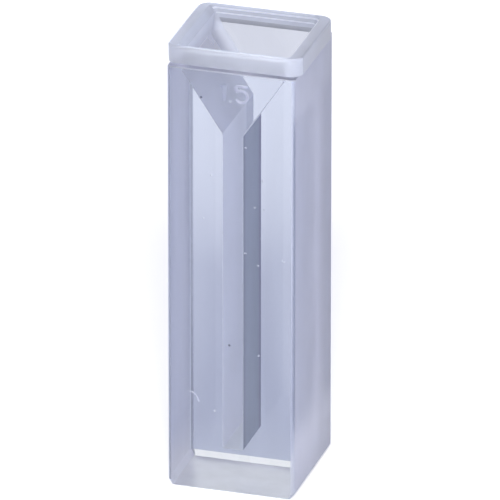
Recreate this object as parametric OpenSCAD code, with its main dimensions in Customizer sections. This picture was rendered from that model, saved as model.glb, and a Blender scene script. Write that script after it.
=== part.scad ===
// Semi-micro cuvette with a 10 mm light path, moulded in one piece of clear
// polystyrene. Millimetres, +Z up, origin at the centre of the underside.
// The two clear windows face -Y and +Y, the two satin sides face -X and +X.

/* [Body] */
// Overall height, from the underside to the top of the rim
total_h = 45; // [40:0.5:60]
// Outside width, across the two satin sides
body_w = 12.5; // [10:0.1:16]
// Outside depth, across the two windows
body_d = 12.5; // [10:0.1:16]
// Radius of the four upright edges
edge_r = 0.4; // [0.1:0.05:0.6]
// Width of the bevel round the underside, at its sides and its back
base_bevel_w = 0.45; // [0.1:0.05:0.6]
// Height of the bevel round the underside, at its sides and its back
base_bevel_h = 0.55; // [0.2:0.05:1]
// Small bevel along the underside's front edge
front_bevel = 0.1; // [0.05:0.01:0.3]
// Bevel along the edges of the shoulder
shoulder_bevel = 0.12; // [0.05:0.01:0.3]

/* [Hollow] */
// Width of the narrow chamber, across the satin sides
chamber_w = 2.05; // [1:0.05:4]
// Thickness of each window
window_t = 1.25; // [1.2:0.05:2]
// Thickness of each side wall at the mouth
mouth_wall = 1.25; // [0.8:0.05:2.5]
// Thickness of plastic under the chamber
floor_t = 4.15; // [1:0.05:8]
// Height of the sloped part of the funnel
funnel_h = 6; // [3:0.1:9]
// Depth of the funnel's upper edge below the shoulder
funnel_drop = 0.6; // [0:0.1:2]
// How far the mouth flares out at its top, towards each satin side
flare_x = 0.5; // [0.1:0.05:0.6]
// How far the mouth flares out at its top, towards each window
flare_y = 0.3; // [0.1:0.01:0.34]
// Height of the mouth's flare
flare_h = 0.7; // [0.3:0.05:0.9]

/* [Rim] */
// Height of the rim above the shoulder
rim_h = 1.8; // [1:0.1:3]
// How far the rim stands out past each satin side
rim_over = 0.33; // [0:0.01:0.6]
// How far the rim stands back from each window
rim_inset = 0.65; // [0.2:0.01:0.7]
// Radius of the rim's upright corners
rim_r = 1.2; // [0.3:0.05:1.3]
// Bevel along the rim's top outer edge
rim_bevel = 0.2; // [0.05:0.01:0.2]

/* [Volume mark] */
// Height of the numerals
mark_h = 1.9; // [1.7:0.05:3]
// Width of the numeral 5
five_w = 1.48; // [1:0.02:1.6]
// Width of the numeral 1, with its flag
one_w = 0.5; // [0.4:0.02:0.8]
// Width of a numeral's stroke
mark_stroke = 0.3; // [0.2:0.02:0.36]
// Gap between two characters
mark_gap = 0.22; // [0.1:0.02:0.5]
// Distance from the shoulder down to the top of the numerals
mark_drop = 1.1; // [0.5:0.1:4]
// Distance of the middle of the numerals from the middle of the window
mark_x = 0.45; // [-2:0.01:2]
// Depth to which the numerals are sunk into the front window
mark_depth = 0.08; // [0.03:0.01:0.2]

/* [Hidden] */
$fn = 48;
shoulder_z = total_h - rim_h;
funnel_top_z = shoulder_z - funnel_drop;
chamber_top_z = funnel_top_z - funnel_h;
path_l = body_d - 2 * window_t;
mouth_w = body_w - 2 * mouth_wall;
rim_w = body_w + 2 * rim_over;
rim_d = body_d - 2 * rim_inset;
front_y = -body_d / 2;
mark_w = one_w + mark_stroke + five_w + 2 * mark_gap;
// Depth to which the rim is rooted in the block, and how far cutters run past it
root = 0.5;
past = 1;

// A rectangle with round corners, centred on the origin.
module round_rect(w, d, r) {
    square([w - 2 * r, d], center = true);
    square([w, d - 2 * r], center = true);
    for (x = [-1, 1], y = [-1, 1])
        translate([x * (w / 2 - r), y * (d / 2 - r)]) circle(r);
}

// Stands a profile upright in X and Z and runs it along Y, centred.
module run_y(len) {
    translate([0, len / 2, 0]) rotate([90, 0, 0]) linear_extrude(len) children();
}

// The same along X.
module run_x(len) {
    rotate(90) run_y(len) children();
}

// An upright outline from z0 to z1, bevelled at its foot on either side and at its head.
module bevelled(w, z0, z1, left_w, left_h, right_w, right_h, head) {
    half = w / 2;
    polygon([
        [-half + left_w, z0], [half - right_w, z0],
        [half, z0 + right_h], [half, z1 - head],
        [half - head, z1], [-half + head, z1],
        [-half, z1 - head], [-half, z0 + left_h]
    ]);
}

// The upright block, up to the shoulder.
module block() {
    bw = base_bevel_w;
    bh = base_bevel_h;
    intersection() {
        linear_extrude(shoulder_z) round_rect(body_w, body_d, edge_r);
        run_y(body_d + past)
            bevelled(body_w, 0, shoulder_z, bw, bh, bw, bh, shoulder_bevel);
        run_x(body_w + past)
            bevelled(body_d, 0, shoulder_z, front_bevel, front_bevel, bw, bh, shoulder_bevel);
    }
}

// The rim, wider than the block across the sides and narrower across the windows.
module rim() {
    translate([0, 0, shoulder_z - root])
        linear_extrude(2 * root) square([(mouth_w + body_w) / 2, (path_l + rim_d) / 2], center = true);
    intersection() {
        translate([0, 0, shoulder_z]) linear_extrude(rim_h) round_rect(rim_w, rim_d, rim_r);
        run_y(rim_d + past) bevelled(rim_w, shoulder_z, total_h, 0, 0, 0, 0, rim_bevel);
        run_x(rim_w + past) bevelled(rim_d, shoulder_z, total_h, 0, 0, 0, 0, rim_bevel);
    }
}

// Chamber, funnel and mouth, open at the top.
module hollow() {
    c = chamber_w / 2;
    m = mouth_w / 2;
    run_y(path_l) polygon([
        [-c, floor_t], [c, floor_t], [c, chamber_top_z], [m, funnel_top_z],
        [m, total_h + past], [-m, total_h + past], [-m, funnel_top_z], [-c, chamber_top_z]
    ]);
    intersection() {
        run_y(body_d + 2 * past) flare(mouth_w, flare_x);
        run_x(body_w + 2 * past) flare(path_l, flare_y);
    }
}

// Outline of the mouth's flare, for a mouth this wide that spreads this far each side.
module flare(w, spread) {
    low = total_h - flare_h;
    high = total_h + past;
    out = spread * (high - low) / flare_h;
    polygon([[-w / 2, low], [w / 2, low], [w / 2 + out, high], [-w / 2 - out, high]]);
}

// Numeral "1": a stem with a short flag.
module one() {
    translate([one_w - mark_stroke, 0]) square([mark_stroke, mark_h]);
    translate([0, mark_h - 2 * mark_stroke]) square([one_w, mark_stroke]);
}

// Numeral "5": a flag, a stem and a round bowl that is open to the left.
module five() {
    bowl_r = five_w / 2;
    stem_z = 1.45 * bowl_r;
    flag_w = 0.85 * five_w;
    translate([0, mark_h - mark_stroke]) square([flag_w, mark_stroke]);
    translate([0, stem_z]) square([mark_stroke, mark_h - stem_z]);
    translate([bowl_r, bowl_r]) difference() {
        circle(bowl_r);
        circle(bowl_r - mark_stroke);
        polygon([[0, 0], [-2 * bowl_r, bowl_r], [-2 * bowl_r, -bowl_r]]);
    }
}

// The numerals as a flat outline, from their lower left corner.
module numerals() {
    one();
    translate([one_w + mark_gap, 0]) square(mark_stroke);
    translate([mark_w - five_w, 0]) five();
}

// The numerals' cutter, sunk into the front window.
module mark() {
    translate([mark_x - mark_w / 2, front_y + mark_depth, shoulder_z - mark_drop - mark_h])
        rotate([90, 0, 0]) linear_extrude(mark_depth + past) numerals();
}

module cuvette() {
    color([0.78, 0.82, 0.9, 0.4])
        difference() {
            union() {
                block();
                rim();
            }
            hollow();
            mark();
        }
}

cuvette();
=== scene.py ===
import math

import bmesh
import bpy
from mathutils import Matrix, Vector
from mathutils.bvhtree import BVHTree

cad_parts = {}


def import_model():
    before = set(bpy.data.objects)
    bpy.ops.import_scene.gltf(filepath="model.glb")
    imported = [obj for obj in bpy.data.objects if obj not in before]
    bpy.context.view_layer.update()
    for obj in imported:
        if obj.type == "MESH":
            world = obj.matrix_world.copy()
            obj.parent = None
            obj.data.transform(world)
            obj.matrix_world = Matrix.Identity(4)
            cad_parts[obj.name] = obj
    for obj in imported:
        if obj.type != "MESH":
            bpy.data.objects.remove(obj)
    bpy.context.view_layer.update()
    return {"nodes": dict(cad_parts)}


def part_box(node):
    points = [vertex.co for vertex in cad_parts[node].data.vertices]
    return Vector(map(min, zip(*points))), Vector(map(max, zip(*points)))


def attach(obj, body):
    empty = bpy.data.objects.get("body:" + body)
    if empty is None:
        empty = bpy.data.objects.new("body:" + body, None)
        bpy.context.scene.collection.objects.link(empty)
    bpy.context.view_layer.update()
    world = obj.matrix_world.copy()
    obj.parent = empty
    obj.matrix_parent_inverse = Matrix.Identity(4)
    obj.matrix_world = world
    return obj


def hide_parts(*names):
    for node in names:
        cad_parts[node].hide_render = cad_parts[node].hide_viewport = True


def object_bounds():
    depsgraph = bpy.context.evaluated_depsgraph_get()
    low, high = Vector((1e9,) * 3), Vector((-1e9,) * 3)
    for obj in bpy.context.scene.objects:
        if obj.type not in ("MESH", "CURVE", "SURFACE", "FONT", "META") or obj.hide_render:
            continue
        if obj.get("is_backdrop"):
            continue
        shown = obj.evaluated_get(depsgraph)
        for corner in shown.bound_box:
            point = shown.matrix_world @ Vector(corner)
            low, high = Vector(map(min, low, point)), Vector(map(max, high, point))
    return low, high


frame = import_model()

MM = 0.001

# Camera: far off, a little to the right of the marked window and above it.
VIEW_AZIMUTH = math.radians(17)
VIEW_ELEVATION = math.radians(24)
VIEW_DISTANCE = 1.0
VIEW_LIMIT = 10
LENS_MM = 762
SENSOR_MM = 36

# Light: one soft distant lamp beside the camera, a dim cool room and pale paper.
KEY_AZIMUTH = math.radians(17)
KEY_ELEVATION = math.radians(35)
KEY_SPREAD = math.radians(20)
KEY_STRENGTH = 3.3
KEY_COLOUR = (1.0, 0.98, 0.88)
ROOM_LIGHT = (0.33, 0.345, 0.5)
PAPER_COLOUR = 0.86
PAPER_LIFT = 0.225
PAPER_DIRECT_LIFT = 0.14
PAPER_GAP = 0.03 * MM
PAPER_HALF_SIZE = 3.0
# Bounces that a ray may take to find its way out of the block.
BOUNCES = 32

# Where rays measure the CAD mesh: the body at this share of its height, the rim this
# far below its top, and the funnel at this share of its width from either end.
BODY_PROBE = 0.45
RIM_PROBE_DROP = 0.9 * MM
FUNNEL_PROBE = 0.2

# Roundings and bevels of the outside, in metres.
EDGE_R = 0.4 * MM
FOOT_W = 0.45 * MM
FOOT_H = 0.55 * MM
FRONT_FOOT = 0.1 * MM
SHOULDER_ROUND = 0.12 * MM
RIM_CORNER_R = 1.2 * MM
RIM_TOP_ROUND = 0.2 * MM
RIM_FOOT_ROUND = 0.07 * MM
# How deep the rim is rooted in the block.
RIM_ROOT = 0.02 * MM
# The upright edges' radius shrinks by this share of the foot's bevel, down to a least radius.
FOOT_CORNER_LOSS = 0.5
FOOT_CORNER_LEAST = 0.1 * MM
# Roundings of the hollow.
HOLLOW_CORNER_R = 0.08 * MM
FLOOR_ROUND = 0.12 * MM
FUNNEL_ROUND = 0.2 * MM
MOUTH_FLARE_X = 0.5 * MM
MOUTH_FLARE_Y = 0.3 * MM
MOUTH_FLARE_H = 0.7 * MM
MOUTH_ROUND = 0.12 * MM
# The mouth's outline starts this far above the shoulder and runs this far past the top.
MOUTH_START = 0.1 * MM
CUT_PAST = 1.0 * MM
# The mouth's corners grow rounder by this share of the height above the flare's foot.
FLARE_CORNER_GAIN = 0.5
# The flare's small step, above the flare's foot.
STEP_LOW = 0.32 * MM
STEP_HIGH = 0.49 * MM
STEP_ROUND = 0.04 * MM
# Radius of the hollow's two back corners, by the height above the chamber's top:
# they are fuller round the funnel's upper part than elsewhere.
BACK_CORNERS = (
    (2.6 * MM, 0.08 * MM),
    (4.0 * MM, 1.27 * MM),
    (5.8 * MM, 1.29 * MM),
    (7.2 * MM, 0.5 * MM),
    (7.6 * MM, 0.4 * MM),
)
# The clear part of the back wall ends at this height above the chamber's top.
CLEAR_BACK_H = 7.2 * MM
# Steps in a rounding of a profile, and in a quarter turn of an outline.
ARC_STEPS = 6
CORNER_STEPS = 10
# A profile starts or ends this many times the radius of a rounding, or the height of
# the foot's bevel, away from it. Over the rim's top there is less room.
LEAD = 2
RIM_TOP_LEAD = 1.2
# Faces that meet at more than this are shaded with a crisp edge.
SHARP_ANGLE = math.radians(32)
# How much more a large face bends the shading of its corners than a small one.
AREA_WEIGHT = 100

# Numerals: strokes pressed into the front window. The 1 and the point are fainter.
STROKE_W = 0.28 * MM
HALF_STROKE = STROKE_W / 2
STROKE_DEPTH = 0.08 * MM
FAINT_DEPTH = 0.028 * MM
DOT_DEPTH = 0.055 * MM
STROKE_SIDES = 20
# A stroke's round end: places along it and the thickness there, as shares of its
# length and of the stroke's radius, and its length as a share of that radius.
STROKE_CAP = ((0.9, 0.45), (0.6, 0.8), (0.0, 1.0))
CAP_LENGTH = 0.8
# At a turn a stroke widens by one over the cosine of half the turn, taken as at least this.
LEAST_COSINE = 0.5
DIGIT_H = 1.9 * MM
DIGIT_TOP_DROP = 1.1 * MM
FIVE_LEFT = 0.33 * MM
FIVE_W = 1.48 * MM
# The 5's flag as a share of its width, its bowl's radius as a share of its height,
# its stem's inset in half strokes, and the turn between flag and stem.
FIVE_FLAG = 0.86
FIVE_BOWL = 0.31
FIVE_STEM_INSET = 1.4
FIVE_TURN_R = 0.22 * MM
# The bowl runs between these angles, anticlockwise from the right, in this many steps.
BOWL_START = 130
BOWL_END = -140
BOWL_STEPS = 26
ONE_X = -0.6 * MM
ONE_FLAG_W = 0.32 * MM
ONE_FLAG_SLOPE = 0.8
DOT_X = -0.02 * MM
DOT_HALF_W = 0.03 * MM

# Small marks on the front window, placed to match the wear in the photograph:
# how far right of the middle, how high up, and how wide, in millimetres.
PITS = {
    "upper left": (-1.89, 32.6, 0.24),
    "by the left edge": (-2.66, 28.1, 0.2),
    "funnel edge": (-2.87, 40.4, 0.26),
    "chamber edge": (2.34, 29.8, 0.2),
    "right of chamber": (3.31, 29.7, 0.16),
    "near the right edge": (5.26, 24.6, 0.2),
    "below the middle": (2.67, 23.9, 0.2),
    "nick beside the slot": (1.45, 25.0, 0.22),
    "dark speck": (-0.13, 15.3, 0.26),
    "low speck": (-1.57, 8.3, 0.22),
    "slot speck": (2.74, 14.6, 0.2),
    "beside the chamber, high": (3.15, 32.6, 0.2),
    "beside the chamber, low": (2.95, 26.7, 0.18),
    "next to the right edge": (5.05, 24.75, 0.14),
    "nick high on the slot": (1.5, 35.8, 0.2),
}
DARK_PITS = ("dark speck", "funnel edge")
# A pit's depth as a share of its width, and how often its ball's faces are divided.
PIT_DEPTH = 0.28
PIT_DIVISIONS = 3
# The scratch's path: how far right of the middle and how high up, in millimetres.
SCRATCH_W = 0.1 * MM
SCRATCH_DEPTH = 0.02 * MM
SCRATCH = ((-4.2, 10.1), (-3.75, 10.0), (-3.35, 9.65), (-3.12, 9.1))

# Noise in the finishes: cells per metre, stretch along each axis, and octaves.
FLOW_LINES = (420, (1, 1, 0.12), 2)
HAZE = (900, (1, 1, 0.5), 3)
GRAIN = (9000, (1, 1, 1), 2)
CLOUD = (260, (1, 1, 0.45), 4)
# The middle part of a noise that is spread over a range.
NOISE_LOW = 0.3
NOISE_HIGH = 0.7
# Bumps: height and strength.
FLOW_BUMP = (0.004 * MM, 0.5)
GRAIN_BUMP = (0.006 * MM, 0.6)
# How much noise changes the tone and the roughness: of clear plastic, then of satin.
FLOW_TONE = 0.03
HAZE_ROUGHNESS = 0.04
MOTTLE = 0.08
UNDER_MOTTLE = 0.15
ROUGHNESS_SPREAD = 0.12
# The share of the mottle that is seen in the light through and off satin plastic.
GLASS_MOTTLE = 0.25
# Sockets of a node that mixes colours: its two colours and its result.
MIX_FIRST = 6
MIX_SECOND = 7
MIX_RESULT = 2

IOR = 1.59
WINDOW_TINT = (0.81, 0.84, 0.895)
INNER_TINT = (1.0, 1.0, 1.0)
# Painted shade: the share of light that the back of the funnel keeps at its top, and the heights
# above the chamber's top between which it falls.
FUNNEL_TOP_SHADE = (0.69, 0.69, 0.695)
FUNNEL_FADE = (1.2 * MM, 3.6 * MM)
# Satin finishes: light let through, light mirrored inside, milky share, roughness.
# The two sides are copies of one satin that differ in light let through and milky share: painted
# light and shade by side.
SIDE_LEFT = ((0.9, 0.92, 0.99), (0.763, 0.765, 0.83), (0.045, 0.046, 0.062), 0.57)
SIDE_RIGHT = ((0.76, 0.78, 0.85), (0.763, 0.765, 0.83), (0.069, 0.072, 0.087), 0.57)
# Painted shade: the share of light that each side lets through at its back edge.
SIDE_LEFT_BACK_SHADE = (0.55, 0.55, 0.55)
SIDE_RIGHT_BACK_SHADE = (0.52, 0.53, 0.53)
# Painted shade: the same at the sides' top, and how far down from the shoulder that reaches.
SIDE_TOP_SHADE = (0.78, 0.78, 0.8)
SIDE_TOP_DROP = 4 * MM
# Painted light: how much more the left side mirrors at its foot, and how far up that reaches.
SIDE_FOOT_PAINTED_LIGHT = (1.25, 1.22, 1.15)
SIDE_FOOT_H = 5 * MM
# Painted shade: the share of light that the right side lets through at its foot.
SIDE_RIGHT_FOOT_SHADE = (0.72, 0.73, 0.75)
# Painted shade: the share of light that the left chamber wall lets through at its foot.
WALL_LEFT_FOOT_SHADE = (0.85, 0.85, 0.87)
# Painted shade makes it darker still within this distance of the chamber's back.
WALL_SHADE_END = 2.0 * MM
WALL_LEFT_BACK_SHADE = (0.73, 0.74, 0.77)
# Painted shade: the right wall mirrors less within this distance of the chamber's back and front,
# and every such change blurs in over the second distance.
WALL_END = 1.0 * MM
WALL_BLUR = 0.5 * MM
# Painted shade: the share of light that the right wall mirrors at its foot, its back and its front.
WALL_RIGHT_FOOT_SHADE = (0.95, 0.955, 0.89)
WALL_RIGHT_BACK_SHADE = (0.72, 0.62, 0.8)
WALL_RIGHT_FRONT_SHADE = (0.72, 0.7, 0.76)
# Both chamber walls mirror only a small share inside, a painted dark reflection, and are two
# slightly different copies of one satin.
WALL_LEFT = ((1.0, 1.0, 1.0), (0.163, 0.184, 0.228), (0.16, 0.163, 0.175), 0.39)
WALL_RIGHT = ((1.0, 1.0, 1.0), (0.17, 0.2, 0.265), (0.13, 0.133, 0.15), 0.39)
SLOPE = ((1.0, 1.0, 1.0), (1.0, 1.0, 1.0), (0.042, 0.044, 0.047), 0.3)
# The rim's finishes are copies of one satin, lighter or darker by which way their faces point:
# painted light and shade.
RIM = ((0.3, 0.32, 0.37), (0.985, 1.0, 1.0), (0.13, 0.133, 0.147), 0.7)
RIM_FRONT = ((0.56, 0.58, 0.62), (0.985, 1.0, 1.0), (0.12, 0.122, 0.13), 0.7)
# Painted shade: the share of light that the rim's front lets through at its left end, and where
# that starts.
RIM_LEFT_SHADE = (0.5, 0.5, 0.53)
RIM_LEFT_START = -2.5 * MM
# A painted highlight on the rim's outer top rounding, where it faces back and left.
RIM_HIGHLIGHT = ((0.8, 0.82, 0.85), (1.0, 1.0, 1.0), (0.22, 0.222, 0.24), 0.5)
RIM_RIGHT = ((0.37, 0.39, 0.45), (0.985, 1.0, 1.0), (0.053, 0.055, 0.068), 0.7)
# Painted shade: the share of light that the rim's right side lets through at its back.
RIM_RIGHT_SHADE = (0.45, 0.47, 0.5)
RIM_EDGE = ((0.36, 0.38, 0.43), (0.985, 1.0, 1.0), (0.085, 0.087, 0.095), 0.7)
RIM_TOP = ((0.28, 0.3, 0.35), (0.985, 1.0, 1.0), (0.14, 0.143, 0.155), 0.7)
MOUTH = ((0.35, 0.37, 0.43), (1.0, 1.0, 1.0), (0.147, 0.15, 0.164), 0.6)
# A painted highlight on the mouth's edges at the flare's foot and its step, at the back and the
# right.
LIP_HIGHLIGHT = ((0.72, 0.74, 0.77), (1.0, 1.0, 1.0), (0.115, 0.119, 0.135), 0.4)
FLOOR = ((0.9, 0.92, 0.95), (0.9, 0.92, 0.95), (0.035, 0.037, 0.045), 0.3)
UNDER = ((0.82, 0.82, 0.82), (0.86, 0.84, 0.83), (0.09, 0.09, 0.09), 0.35)
NUMERAL = ((0.82, 0.84, 0.93), (1.0, 1.0, 1.0), (0.033, 0.033, 0.036), 0.3)
FAINT = ((0.82, 0.85, 0.93), (1.0, 1.0, 1.0), (0.016, 0.017, 0.019), 0.3)
LEDGE = ((0.95, 0.95, 1.0), (0.8, 0.8, 0.85), (0.03, 0.03, 0.034), 0.4)
# Painted shade: the share of light that the ledge lets through away from its left end, and the
# width over which that sets in.
LEDGE_SHADE = (0.66, 0.66, 0.7)
LEDGE_FADE_W = 1.0 * MM
EDGE = ((0.75, 0.78, 0.86), (0.9, 0.92, 0.96), (0.05, 0.051, 0.06), 0.5)
# Painted shade: the share of light that the upright edges let through at the left side.
EDGE_LEFT_SHADE = (0.5, 0.5, 0.54)
PIT = ((0.85, 0.87, 0.92), (1.0, 1.0, 1.0), (0.09, 0.09, 0.09), 0.2)
GRIME = ((0.35, 0.36, 0.42), (0.4, 0.4, 0.45), (0.01, 0.01, 0.01), 0.4)

# How much of a face's direction lies along an axis, to choose its finish.
TRACE = 0.2
RISING = 0.25
HALF = 0.5
MOST = 0.9
NEARLY_ALL = 0.95
ALL = 0.98
# A face of a rounded upright edge rises by less than this, and faces sideways by an
# amount between these two.
EDGE_RISE = 0.1
EDGE_TURN = (0.15, 0.97)
# How close a face has to be to a feature to take its finish.
SURFACE = 0.001 * MM
HAIR = 0.02 * MM
NEAR = 0.1 * MM
LIP_REACH = 1.2 * MOUTH_ROUND
RIM_REACH = 0.3 * MM
FLOOR_REACH = 0.3 * MM
SIDE_REACH = 0.5 * MM
UNDER_REACH = 1.0 * MM
BACK_REACH = 2.0 * MM
MARK_HALF_W = 2.0 * MM
MARK_REACH = 2 * STROKE_DEPTH


class Measured:
    """The cuvette's sizes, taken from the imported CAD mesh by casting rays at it."""

    def __init__(self, node):
        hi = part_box("cuvette")[1]
        tree = BVHTree.FromPolygons(
            [v.co.copy() for v in node.data.vertices],
            [tuple(p.vertices) for p in node.data.polygons],
        )

        def hit(start, direction):
            return tree.ray_cast(Vector(start), Vector(direction))[0]

        far = 2 * hi.z
        middle = BODY_PROBE * hi.z
        in_rim = hi.z - RIM_PROBE_DROP
        self.top = hi.z
        self.rim_x = hi.x
        self.body_y = hi.y
        self.body_x = hit((far, 0, middle), (-1, 0, 0)).x
        self.chamber_x = hit((0, 0, middle), (1, 0, 0)).x
        self.path_y = hit((0, 0, middle), (0, 1, 0)).y
        self.floor_z = hit((0, 0, middle), (0, 0, -1)).z
        self.mouth_x = hit((0, 0, in_rim), (1, 0, 0)).x
        self.rim_y = hit((0, far, in_rim), (0, -1, 0)).y
        self.shoulder_z = hit((0, (self.rim_y + self.body_y) / 2, far), (0, 0, -1)).z
        low_x = (1 - FUNNEL_PROBE) * self.chamber_x + FUNNEL_PROBE * self.mouth_x
        high_x = FUNNEL_PROBE * self.chamber_x + (1 - FUNNEL_PROBE) * self.mouth_x
        low_z = hit((low_x, 0, far), (0, 0, -1)).z
        high_z = hit((high_x, 0, far), (0, 0, -1)).z
        slope = (high_z - low_z) / (high_x - low_x)
        self.chamber_top = low_z - slope * (low_x - self.chamber_x)
        self.funnel_top = high_z + slope * (self.mouth_x - high_x)


def rounded(points):
    """Rounds a profile of (a, z, radius) corners and returns its (a, z) points."""
    out = []
    for i, (a, z, radius) in enumerate(points):
        here = Vector((a, z))
        if radius <= 0 or i in (0, len(points) - 1):
            out.append((a, z))
            continue
        before = (Vector(points[i - 1][:2]) - here).normalized()
        after = (Vector(points[i + 1][:2]) - here).normalized()
        half = before.angle(after) / 2
        reach = radius / math.tan(half)
        centre = here + (before + after).normalized() * (radius / math.sin(half))
        start = here + before * reach - centre
        turn = math.pi - 2 * half
        side = 1 if start.cross(here + after * reach - centre) > 0 else -1
        for k in range(ARC_STEPS + 1):
            angle = side * turn * k / ARC_STEPS
            c, s = math.cos(angle), math.sin(angle)
            out.append((centre.x + start.x * c - start.y * s, centre.y + start.x * s + start.y * c))
    return out


def outline(half_x, half_y, radius, z, front=0.0, back_radius=None):
    """A rectangle with round corners at height z, with its front edge moved by front."""
    points = []
    for quarter, (sx, sy) in enumerate([(1, 1), (-1, 1), (-1, -1), (1, -1)]):
        r = radius if back_radius is None or sy < 0 else back_radius
        for k in range(CORNER_STEPS + 1):
            angle = math.pi / 2 * (quarter + k / CORNER_STEPS)
            x = sx * (half_x - r) + r * math.cos(angle)
            y = sy * (half_y - r) + r * math.sin(angle)
            if sy < 0:
                y += front
            points.append((x, y, z))
    return points


def mesh_object(name, bm):
    """A new object with this mesh, its faces turned outwards."""
    bmesh.ops.recalc_face_normals(bm, faces=bm.faces)
    mesh = bpy.data.meshes.new(name)
    bm.to_mesh(mesh)
    bm.free()
    ob = bpy.data.objects.new(name, mesh)
    bpy.context.scene.collection.objects.link(ob)
    return ob


def skin(bm, rings):
    """Joins a stack of closed rings into a closed skin, capped at both ends."""
    loops = [[bm.verts.new(p) for p in ring] for ring in rings]
    count = len(loops[0])
    for below, above in zip(loops, loops[1:]):
        for i in range(count):
            j = (i + 1) % count
            bm.faces.new((below[i], below[j], above[j], above[i]))
    bm.faces.new(reversed(loops[0]))
    bm.faces.new(loops[-1])


def stack(name, rings):
    """A closed mesh through a stack of outlines."""
    bm = bmesh.new()
    skin(bm, rings)
    return mesh_object(name, bm)


def boolean(target, other, operation):
    """Applies a boolean to target and removes the other mesh, whose skins may overlap."""
    mod = target.modifiers.new("cut", "BOOLEAN")
    mod.operation = operation
    mod.solver = "EXACT"
    mod.use_self = True
    mod.object = other
    bpy.context.view_layer.update()
    depsgraph = bpy.context.evaluated_depsgraph_get()
    done = bpy.data.meshes.new_from_object(target.evaluated_get(depsgraph))
    target.modifiers.clear()
    target.data = done
    bpy.data.objects.remove(other)


def block(m):
    """The upright block with its bevelled foot and rounded shoulder edge."""
    rings = []
    foot_steps = ((1.0, 0.0), (1 - FRONT_FOOT / FOOT_H, FRONT_FOOT), (0.0, FOOT_H))
    for share, z in foot_steps:
        a = FOOT_W * share
        front_inset = max(0.0, FRONT_FOOT - z)
        radius = max(EDGE_R - FOOT_CORNER_LOSS * a, FOOT_CORNER_LEAST)
        rings.append(outline(m.body_x - a, m.body_y - a, radius, z, front_inset - a))
    shoulder = rounded([
        (0, LEAD * FOOT_H, 0),
        (0, m.shoulder_z, SHOULDER_ROUND),
        (LEAD * SHOULDER_ROUND, m.shoulder_z, 0),
    ])
    for a, z in shoulder:
        rings.append(outline(m.body_x - a, m.body_y - a, EDGE_R - a, z))
    return stack("cuvette_moulding", rings)


def rim(m):
    """The rim, rooted a little way into the block."""
    foot = m.shoulder_z - RIM_ROOT
    profile = rounded([
        (LEAD * RIM_FOOT_ROUND, foot, 0),
        (0, foot, RIM_FOOT_ROUND),
        (0, m.top, RIM_TOP_ROUND),
        (RIM_TOP_LEAD * RIM_TOP_ROUND, m.top, 0),
    ])
    rings = [outline(m.rim_x - a, m.rim_y - a, RIM_CORNER_R - a, z) for a, z in profile]
    return stack("rim", rings)


def between(value, points):
    """Reads a height off a line through (value, height) points, level past both ends."""
    if value <= points[0][0]:
        return points[0][1]
    for (low, at_low), (high, at_high) in zip(points, points[1:]):
        if value <= high:
            return at_low + (at_high - at_low) * (value - low) / (high - low)
    return points[-1][1]


def with_knots(m, profile):
    """A profile of (a, z) points with points added where the back corners change."""
    out = [profile[0]]
    for (a, z), (next_a, next_z) in zip(profile, profile[1:]):
        for height, _ in BACK_CORNERS:
            knot = m.chamber_top + height
            if z < knot < next_z:
                out.append((a + (next_a - a) * (knot - z) / (next_z - z), knot))
        out.append((next_a, next_z))
    return out


def hollow(m):
    """What is cut away: the chamber, the funnel above it and the flared mouth."""
    rings = []
    floor = rounded([
        (-LEAD * FLOOR_ROUND, m.floor_z, 0),
        (0, m.floor_z, FLOOR_ROUND),
        (0, m.floor_z + LEAD * FLOOR_ROUND, 0),
    ])
    for a, z in floor:
        rings.append(outline(m.chamber_x + a, m.path_y + a, HOLLOW_CORNER_R, z))
    funnel = rounded([
        (m.chamber_x, m.floor_z + (LEAD + 1) * FLOOR_ROUND, 0),
        (m.chamber_x, m.chamber_top, FUNNEL_ROUND),
        (m.mouth_x, m.funnel_top, FUNNEL_ROUND),
        (m.mouth_x, m.shoulder_z, 0),
    ])
    for x, z in with_knots(m, funnel):
        back_r = between(z - m.chamber_top, BACK_CORNERS)
        rings.append(outline(x, m.path_y, HOLLOW_CORNER_R, z, back_radius=back_r))
    flare_foot = m.top - MOUTH_FLARE_H
    flare = rounded([
        (0, m.shoulder_z + MOUTH_START, 0),
        (0, flare_foot, MOUTH_ROUND),
        (STEP_LOW, flare_foot + STEP_LOW, STEP_ROUND),
        (STEP_LOW, flare_foot + STEP_HIGH, STEP_ROUND),
        (MOUTH_FLARE_H, m.top, 0),
        (MOUTH_FLARE_H + CUT_PAST, m.top + CUT_PAST, 0),
    ])
    for share, z in with_knots(m, flare):
        x = m.mouth_x + max(0.0, z - flare_foot) * MOUTH_FLARE_X / MOUTH_FLARE_H
        y = m.path_y + share * MOUTH_FLARE_Y / MOUTH_FLARE_H
        front_r = HOLLOW_CORNER_R + FLARE_CORNER_GAIN * share
        back_r = between(z - m.chamber_top, BACK_CORNERS) + FLARE_CORNER_GAIN * share
        rings.append(outline(x, y, front_r, z, back_radius=back_r))
    return stack("hollow", rings)


def arc(cx, cz, radius, start, end, steps):
    """Points on an arc, with angles in degrees, anticlockwise from the right."""
    points = []
    for k in range(steps + 1):
        angle = math.radians(start + (end - start) * k / steps)
        points.append((cx + radius * math.cos(angle), cz + radius * math.sin(angle)))
    return points


def digit_span(m):
    """Heights of the highest and the lowest centre line in the numerals."""
    top = m.shoulder_z - DIGIT_TOP_DROP - HALF_STROKE
    bottom = m.shoulder_z - DIGIT_TOP_DROP - DIGIT_H + HALF_STROKE
    return top, bottom


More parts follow.
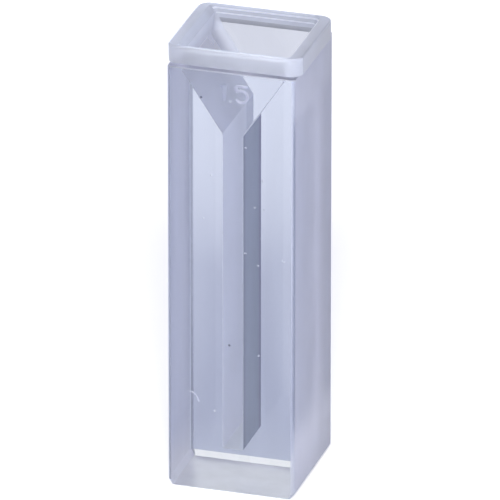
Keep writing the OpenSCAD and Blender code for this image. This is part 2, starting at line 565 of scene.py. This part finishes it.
def five_path(m):
    """Centre line of the 5: a flag, a short stem and a round bowl open to the left."""
    top, bottom = digit_span(m)
    bowl_r = FIVE_BOWL * DIGIT_H
    bowl_x = FIVE_LEFT + FIVE_W - HALF_STROKE - bowl_r
    turn_x = FIVE_LEFT + FIVE_STEM_INSET * HALF_STROKE + FIVE_TURN_R
    points = [(FIVE_LEFT + FIVE_FLAG * FIVE_W, top)]
    points += arc(turn_x, top - FIVE_TURN_R, FIVE_TURN_R, 90, 180, ARC_STEPS)
    points += arc(bowl_x, bottom + bowl_r, bowl_r, BOWL_START, BOWL_END, BOWL_STEPS)
    return points


def one_path(m):
    """Centre line of the 1: a short flag and a stem."""
    top, bottom = digit_span(m)
    flag_foot = (ONE_X - ONE_FLAG_W, top - ONE_FLAG_SLOPE * ONE_FLAG_W)
    return [flag_foot, (ONE_X, top), (ONE_X, bottom)]


def cutter_radius(width, depth):
    """Radius of a round cutter that leaves a dent of this width and depth."""
    return (width ** 2 / 4 + depth ** 2) / (2 * depth)


def stroke(bm, m, path, width, depth):
    """A round bar along the path, standing off the window so that only a groove is cut."""
    radius = cutter_radius(width, depth)
    y = -m.body_y - (radius - depth)
    points = [Vector((x, y, z)) for x, z in path]
    last = len(points) - 1
    out = Vector((0, -1, 0))
    rings = []
    for i, point in enumerate(points):
        ahead = (points[min(i + 1, last)] - points[max(i - 1, 0)]).normalized()
        side = ahead.cross(out)
        before = (point - points[i - 1]).normalized() if i else ahead
        after = (points[i + 1] - point).normalized() if i < last else ahead
        spread = 1 / max(LEAST_COSINE, math.cos(before.angle(after, 0) / 2))
        cap = [(0.0, 1.0)]
        if i == 0:
            cap = [(-slide, size) for slide, size in STROKE_CAP]
        elif i == last:
            cap = reversed(STROKE_CAP)
        for slide, size in cap:
            ring = []
            for k in range(STROKE_SIDES):
                angle = 2 * math.pi * k / STROKE_SIDES
                offset = side * math.cos(angle) * spread + out * math.sin(angle)
                ring.append(point + ahead * slide * radius * CAP_LENGTH + offset * radius * size)
            rings.append(ring)
    skin(bm, rings)


def add_numerals(bm, m):
    """The bars that press 1, point and 5 into the front window."""
    stroke(bm, m, one_path(m), STROKE_W, FAINT_DEPTH)
    stroke(bm, m, five_path(m), STROKE_W, STROKE_DEPTH)
    bottom = digit_span(m)[1]
    dot = [(DOT_X - DOT_HALF_W, bottom), (DOT_X + DOT_HALF_W, bottom)]
    stroke(bm, m, dot, STROKE_W, DOT_DEPTH)


def add_wear(bm, m):
    """Balls and a bar that wear small pits and one scratch into the front window."""
    for x, z, width in PITS.values():
        depth = PIT_DEPTH * width * MM
        radius = cutter_radius(width * MM, depth)
        centre = Vector((x * MM, -m.body_y - (radius - depth), z * MM))
        ball = bmesh.ops.create_icosphere(bm, subdivisions=PIT_DIVISIONS, radius=radius)
        bmesh.ops.translate(bm, verts=ball["verts"], vec=centre)
    scratch = [(x * MM, z * MM) for x, z in SCRATCH]
    stroke(bm, m, scratch, SCRATCH_W, SCRATCH_DEPTH)


def front_marks(m):
    """All that is pressed into the front window or wears marks into it, as one cutter."""
    bm = bmesh.new()
    add_numerals(bm, m)
    add_wear(bm, m)
    return mesh_object("front_marks", bm)


def material(name):
    """A new node material without a shader, and its node tree."""
    mat = bpy.data.materials.new(name)
    mat.use_nodes = True
    mat.node_tree.nodes.remove(mat.node_tree.nodes["Principled BSDF"])
    return mat, mat.node_tree


def fill(nt, node, inputs):
    """Sets a node's inputs to these values, or links them to these outputs."""
    for socket, value in inputs.items():
        if isinstance(value, bpy.types.NodeSocket):
            nt.links.new(value, node.inputs[socket])
        else:
            node.inputs[socket].default_value = value
    return node


def add_node(nt, kind, inputs):
    """A new node of this kind, with its inputs filled."""
    return fill(nt, nt.nodes.new(kind), inputs)


def add_shaders(nt, first, second):
    """The sum of two shader nodes."""
    return add_node(nt, "ShaderNodeAddShader", {0: first.outputs[0], 1: second.outputs[0]})


def colour_mix(nt, factor, first, second, blend="MIX"):
    """A mix of two colours, each of them a value or an output."""
    mix = nt.nodes.new("ShaderNodeMix")
    mix.data_type = "RGBA"
    mix.blend_type = blend
    fill(nt, mix, {"Factor": factor, MIX_FIRST: first, MIX_SECOND: second})
    return mix.outputs[MIX_RESULT]


def noise(nt, scale, stretch, detail):
    """Noise on object coordinates, stretched along each axis; scale is per metre."""
    place = nt.nodes.new("ShaderNodeTexCoord").outputs["Object"]
    mapping = add_node(nt, "ShaderNodeMapping", {"Vector": place, "Scale": stretch})
    inputs = {"Vector": mapping.outputs[0], "Scale": scale, "Detail": detail}
    return add_node(nt, "ShaderNodeTexNoise", inputs).outputs["Fac"]


def ranged(nt, value, low, high):
    """Spreads the middle of a noise over low to high."""
    inputs = {"From Min": NOISE_LOW, "From Max": NOISE_HIGH, "To Min": low, "To Max": high}
    return add_node(nt, "ShaderNodeMapRange", {"Value": value, **inputs}).outputs[0]


def shaded(nt, value, colour, depth):
    """A colour that sinks by depth where the noise is low and rises where it's high."""
    dark = (*[c * (1 - depth) for c in colour], 1)
    light = (*[min(1.0, c * (1 + depth)) for c in colour], 1)
    return colour_mix(nt, ranged(nt, value, 0, 1), dark, light)


def bump(nt, height, distance, strength):
    """A normal that follows a height."""
    inputs = {"Height": height, "Distance": distance, "Strength": strength}
    return add_node(nt, "ShaderNodeBump", inputs).outputs[0]


def faded(nt, colour, fades):
    """A colour that each fade turns to a share of itself, from start to end on an axis."""
    for axis, start, end, share in fades:
        place = nt.nodes.new("ShaderNodeTexCoord").outputs["Object"]
        split = add_node(nt, "ShaderNodeSeparateXYZ", {0: place})
        inputs = {"Value": split.outputs[axis], "From Min": start, "From Max": end}
        along = add_node(nt, "ShaderNodeMapRange", inputs)
        colour = colour_mix(nt, along.outputs[0], colour, (*share, 1), "MULTIPLY")
    return colour


def clear(name, tint, fades=()):
    """Polished polystyrene with faint flow lines along its height."""
    mat = bpy.data.materials.new(name)
    mat.use_nodes = True
    nt = mat.node_tree
    flow = noise(nt, *FLOW_LINES)
    tone = shaded(nt, flow, [c * c for c in tint], FLOW_TONE)
    fill(nt, nt.nodes["Principled BSDF"], {
        "Transmission Weight": 1,
        "IOR": IOR,
        "Base Color": faded(nt, tone, fades),
        "Roughness": ranged(nt, noise(nt, *HAZE), 0.0, HAZE_ROUGHNESS),
        "Normal": bump(nt, flow, *FLOW_BUMP),
    })
    return mat


def satin(name, through, mirror, milk, roughness, mottle=MOTTLE, fades=(), mirror_fades=()):
    """Satin polystyrene: rough glass whose inside mirroring has its own strength."""
    mat, nt = material(name)
    cloud = noise(nt, *CLOUD)
    spread = roughness * ROUGHNESS_SPREAD
    surface = {
        "Roughness": ranged(nt, cloud, roughness - spread, roughness + spread),
        "Normal": bump(nt, noise(nt, *GRAIN), *GRAIN_BUMP),
    }
    bend_tone = faded(nt, shaded(nt, cloud, through, mottle * GLASS_MOTTLE), fades)
    shine_tone = faded(nt, shaded(nt, cloud, mirror, mottle * GLASS_MOTTLE), mirror_fades)
    bend = {"Color": bend_tone, "IOR": IOR, **surface}
    shine = {"Color": shine_tone, **surface}
    look = add_node(nt, "ShaderNodeMixShader", {
        0: add_node(nt, "ShaderNodeFresnel", {"IOR": IOR}).outputs[0],
        1: add_node(nt, "ShaderNodeBsdfRefraction", bend).outputs[0],
        2: add_node(nt, "ShaderNodeBsdfAnisotropic", shine).outputs[0],
    })
    for kind in ("ShaderNodeBsdfDiffuse", "ShaderNodeBsdfTranslucent"):
        milky = add_node(nt, kind, {"Color": shaded(nt, cloud, milk, mottle)})
        look = add_shaders(nt, look, milky)
    nt.links.new(look.outputs[0], nt.nodes["Material Output"].inputs["Surface"])
    return mat


def clear_finishes(m):
    """The polished faces: the windows, the inside and the back of the funnel."""
    low, high = [m.chamber_top + height for height in FUNNEL_FADE]
    return {
        "window": clear("window", WINDOW_TINT),
        "inner": clear("inner", INNER_TINT),
        "foot": clear("foot", INNER_TINT),
        # The back of the funnel darkens towards its top: painted shade.
        "funnel": clear("funnel", INNER_TINT, [("Z", low, high, FUNNEL_TOP_SHADE)]),
    }


def side_finishes(m):
    """The block's satin sides, painted darker towards the back, the top and the right foot and
    lighter at the left foot, and its upright edges, painted darker at the left.
    """
    # Painted shade darkens the sides towards the back and the top, and the right side at its foot;
    # painted light makes the left side mirror more at its foot.
    top = ("Z", m.shoulder_z - SIDE_TOP_DROP, m.shoulder_z, SIDE_TOP_SHADE)
    foot = ("Z", SIDE_FOOT_H, 0.0, SIDE_RIGHT_FOOT_SHADE)
    left = [("Y", -m.body_y, m.body_y, SIDE_LEFT_BACK_SHADE), top]
    left_painted_light = [("Z", SIDE_FOOT_H, 0.0, SIDE_FOOT_PAINTED_LIGHT)]
    right = [("Y", -m.body_y, m.body_y, SIDE_RIGHT_BACK_SHADE), top, foot]
    # Painted shade: the upright edges darken towards the left side.
    edge = [("X", 0.0, -m.body_x, EDGE_LEFT_SHADE)]
    return {
        "side_left": satin("side_left", *SIDE_LEFT, fades=left, mirror_fades=left_painted_light),
        "side_right": satin("side_right", *SIDE_RIGHT, fades=right),
        "edge": satin("edge", *EDGE, fades=edge),
    }


def wall_finishes(m):
    """The chamber's two satin walls, with painted shade that darkens them at their foot and towards
    their ends.
    """
    shade_end = m.path_y - WALL_SHADE_END
    end = m.path_y - WALL_END
    left = [
        ("Z", m.chamber_top, m.floor_z, WALL_LEFT_FOOT_SHADE),
        ("Y", shade_end - WALL_BLUR, shade_end, WALL_LEFT_BACK_SHADE),
    ]
    right = [
        ("Z", m.chamber_top, m.floor_z, WALL_RIGHT_FOOT_SHADE),
        ("Y", end - WALL_BLUR, end, WALL_RIGHT_BACK_SHADE),
        ("Y", WALL_BLUR - end, -end, WALL_RIGHT_FRONT_SHADE),
    ]
    return {
        "wall_left": satin("wall_left", *WALL_LEFT, fades=left),
        "wall_right": satin("wall_right", *WALL_RIGHT, mirror_fades=right),
    }


def rim_finishes(m):
    """The rim's faces, with painted light and shade, and the ledge beside its foot, with painted
    shade.
    """
    # Painted shade darkens the rim's front towards its left end, its right side towards the back
    # and the ledge away from its left end.
    front = [("X", RIM_LEFT_START, -m.rim_x, RIM_LEFT_SHADE)]
    right = [("Y", -m.rim_y, m.rim_y, RIM_RIGHT_SHADE)]
    ledge = [("X", -m.mouth_x, -m.mouth_x + LEDGE_FADE_W, LEDGE_SHADE)]
    return {
        "rim": satin("rim", *RIM),
        "rim_front": satin("rim_front", *RIM_FRONT, fades=front),
        "rim_right": satin("rim_right", *RIM_RIGHT, fades=right),
        "rim_top": satin("rim_top", *RIM_TOP),
        "rim_edge": satin("rim_edge", *RIM_EDGE),
        "rim_highlight": satin("rim_highlight", *RIM_HIGHLIGHT),
        "ledge": satin("ledge", *LEDGE, fades=ledge),
    }


def hollow_finishes():
    """The satin faces of the hollow, apart from the chamber's walls."""
    return {
        "slope": satin("slope", *SLOPE),
        "mouth": satin("mouth", *MOUTH),
        "lip_highlight": satin("lip_highlight", *LIP_HIGHLIGHT),
        "floor": satin("floor", *FLOOR),
    }


def small_finishes():
    """The underside, the numerals, the pits and the grime in two of them."""
    return {
        "under": satin("under", *UNDER, mottle=UNDER_MOTTLE),
        "numeral": satin("numeral", *NUMERAL),
        "numeral_faint": satin("numeral_faint", *FAINT),
        "pit": satin("pit", *PIT),
        "grime": satin("grime", *GRIME),
    }


def finishes(m):
    """The moulding's finishes by name, each a look of the one plastic."""
    return {
        **clear_finishes(m),
        **side_finishes(m),
        **wall_finishes(m),
        **rim_finishes(m),
        **hollow_finishes(),
        **small_finishes(),
    }


def rim_finish(m, n, c, inside):
    """The finish of a face of the rim or the mouth: some edges are lighter with a painted
    highlight.
    """
    flare_foot = m.top - MOUTH_FLARE_H
    if inside:
        clear_top = m.chamber_top + CLEAR_BACK_H if c.y > 0 else m.shoulder_z
        if c.z < clear_top and abs(n.x) < TRACE:
            return "funnel" if c.y > 0 else "inner"
        # The back and the right of the mouth take a painted highlight at the flare's foot and its
        # step.
        painted_highlight_side = c.y > m.path_y - HOLLOW_CORNER_R or c.x > m.mouth_x
        at_foot = abs(c.z - flare_foot) < LIP_REACH
        at_step = flare_foot + STEP_LOW < c.z < flare_foot + STEP_HIGH
        if painted_highlight_side and (at_foot or at_step):
            return "lip_highlight"
        return "mouth" if c.z < flare_foot else "rim"
    if n.z > MOST and c.z < m.shoulder_z + NEAR:
        return "ledge"
    # The rim's faces take lighter or darker copies of its finish by which way they point: painted
    # light and shade.
    if n.z > ALL:
        return "rim_top"
    # The top rounding facing back and left takes a painted highlight.
    if n.z > RISING and c.z > m.top - RIM_TOP_ROUND and n.y > -TRACE:
        return "rim_highlight" if n.x < TRACE else "rim_edge"
    if n.y < -TRACE:
        return "rim_front"
    return "rim_right" if c.x > m.mouth_x else "rim"


def side_finish(n, c):
    """The finish of a face near a satin side of the block."""
    if abs(n.z) < EDGE_RISE and EDGE_TURN[0] < abs(n.x) < EDGE_TURN[1]:
        return "edge"
    if abs(n.x) > HALF or c.z < FOOT_H:
        return "side_left" if c.x < 0 else "side_right"
    return "window"


def mark_finish(m, c):
    """The finish of a face that is pressed into the front window or is a mark of wear on it."""
    if c.z > m.shoulder_z - DIGIT_TOP_DROP - DIGIT_H - NEAR and abs(c.x) < MARK_HALF_W:
        return "numeral" if c.x > FIVE_LEFT - NEAR else "numeral_faint"
    for name in DARK_PITS:
        x, z, width = PITS[name]
        if abs(c.x - x * MM) < width * MM and abs(c.z - z * MM) < width * MM:
            return "grime"
    return "pit"


def window_finish(m, c):
    """The finish of a face of a window's outside."""
    if c.z < FOOT_H:
        return "foot" if c.y > 0 else "window"
    return mark_finish(m, c) if SURFACE < m.body_y + c.y < MARK_REACH else "window"


def hollow_finish(m, n, c):
    """The finish of a face of the chamber or the funnel."""
    if abs(c.z - m.floor_z) < FLOOR_REACH and abs(n.x) < MOST and abs(n.y) < MOST:
        return "floor"
    if abs(n.x) > NEARLY_ALL and abs(c.x) < m.chamber_x + NEAR:
        return "wall_left" if c.x < 0 else "wall_right"
    corners_z = m.chamber_top + BACK_CORNERS[0][0]
    if c.y > m.path_y - BACK_REACH and c.z > corners_z and abs(n.x) > TRACE:
        return "mouth"
    if abs(n.x) > HALF:
        return "slope"
    return "funnel" if c.z > m.chamber_top and c.y > 0 else "inner"


def finish_of(m, n, c):
    """The finish of a face, from its outward direction and its middle."""
    if c.z > m.shoulder_z - RIM_REACH:
        in_mouth = abs(c.y) < m.path_y + MOUTH_FLARE_Y and abs(c.x) < m.mouth_x + MOUTH_FLARE_X
        return rim_finish(m, n, c, in_mouth)
    if n.z < -NEARLY_ALL and c.z < UNDER_REACH:
        return "under"
    if abs(c.x) > m.body_x - SIDE_REACH:
        return side_finish(n, c)
    inside = abs(c.y) < m.path_y + HAIR and abs(c.x) < m.mouth_x + HAIR
    return hollow_finish(m, n, c) if inside else window_finish(m, c)


def moulding(m):
    """The whole cuvette as one closed mesh, with a finish on each face."""
    ob = block(m)
    boolean(ob, rim(m), "UNION")
    boolean(ob, hollow(m), "DIFFERENCE")
    boolean(ob, front_marks(m), "DIFFERENCE")
    ob.name = "cuvette_moulding"
    ob.data.materials.clear()
    looks = finishes(m)
    names = list(looks)
    for mat in looks.values():
        ob.data.materials.append(mat)
    for face in ob.data.polygons:
        face.material_index = names.index(finish_of(m, face.normal, face.center))
        face.use_smooth = True
    ob.data.set_sharp_from_angle(angle=SHARP_ANGLE)
    mod = ob.modifiers.new("normals", "WEIGHTED_NORMAL")
    mod.keep_sharp = True
    mod.weight = AREA_WEIGHT
    return ob


def toward(azimuth, elevation):
    """The direction from the object to something seen at these angles."""
    flat = math.cos(elevation)
    return Vector((math.sin(azimuth) * flat, -math.cos(azimuth) * flat, math.sin(elevation)))


def camera():
    """A long lens, far off, aimed at the object's middle."""
    data = bpy.data.cameras.new("camera")
    data.lens = LENS_MM
    data.sensor_width = SENSOR_MM
    data.clip_end = VIEW_LIMIT
    ob = bpy.data.objects.new("camera", data)
    bpy.context.scene.collection.objects.link(ob)
    lo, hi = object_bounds()
    back = toward(VIEW_AZIMUTH, VIEW_ELEVATION)
    ob.location = (lo + hi) / 2 + back * VIEW_DISTANCE
    ob.rotation_mode = "QUATERNION"
    ob.rotation_quaternion = (-back).to_track_quat("-Z", "Y")
    bpy.context.scene.camera = ob


def key_light():
    """A soft distant lamp."""
    data = bpy.data.lights.new("key", "SUN")
    data.angle = KEY_SPREAD
    data.energy = KEY_STRENGTH
    data.color = KEY_COLOUR
    ob = bpy.data.objects.new("key", data)
    bpy.context.scene.collection.objects.link(ob)
    back = toward(KEY_AZIMUTH, KEY_ELEVATION)
    ob.location = back
    ob.rotation_mode = "QUATERNION"
    ob.rotation_quaternion = (-back).to_track_quat("-Z", "Y")


def math_node(nt, operation, *values):
    """A number worked out from others, each of them a value or an output."""
    node = nt.nodes.new("ShaderNodeMath")
    node.operation = operation
    return fill(nt, node, dict(enumerate(values)))


def seen_rays(nt):
    """One for a ray from the camera, off a gloss or through glass, else nought."""
    path = nt.nodes.new("ShaderNodeLightPath").outputs
    first = math_node(nt, "ADD", path["Is Camera Ray"], path["Is Glossy Ray"])
    seen = math_node(nt, "ADD", first.outputs[0], path["Is Transmission Ray"])
    seen.use_clamp = True
    return seen.outputs[0]


def world():
    """White where it is seen, and dim where it lights the object."""
    studio = bpy.data.worlds.new("studio")
    bpy.context.scene.world = studio
    studio.use_nodes = True
    nt = studio.node_tree
    colour = colour_mix(nt, seen_rays(nt), (*ROOM_LIGHT, 1), (1, 1, 1, 1))
    nt.links.new(colour, nt.nodes["Background"].inputs["Color"])


def paper():
    """The pale sheet under the object, lifted to white where it is seen."""
    bm = bmesh.new()
    bmesh.ops.create_grid(bm, x_segments=1, y_segments=1, size=PAPER_HALF_SIZE)
    ob = mesh_object("paper", bm)
    ob.location.z = -PAPER_GAP
    mat, nt = material("paper")
    colour = (PAPER_COLOUR, PAPER_COLOUR, PAPER_COLOUR, 1)
    diffuse = add_node(nt, "ShaderNodeBsdfDiffuse", {"Color": colour})
    seen = math_node(nt, "MULTIPLY", seen_rays(nt), PAPER_LIFT)
    direct = nt.nodes.new("ShaderNodeLightPath").outputs["Is Camera Ray"]
    lift = math_node(nt, "MULTIPLY_ADD", direct, PAPER_DIRECT_LIFT, seen.outputs[0])
    glow = add_node(nt, "ShaderNodeEmission", {"Strength": lift.outputs[0]})
    look = add_shaders(nt, diffuse, glow)
    nt.links.new(look.outputs[0], nt.nodes["Material Output"].inputs["Surface"])
    ob.data.materials.append(mat)
    ob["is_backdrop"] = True


def render_settings():
    """Enough bounces for light to find its way out of the block."""
    scene = bpy.context.scene
    scene.view_settings.view_transform = "Standard"
    scene.cycles.max_bounces = BOUNCES
    scene.cycles.transmission_bounces = BOUNCES
    scene.cycles.glossy_bounces = BOUNCES


piece = moulding(Measured(frame["nodes"]["cuvette"]))
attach(piece, "root")
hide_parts("cuvette")

camera()
key_light()
world()
paper()
render_settings()
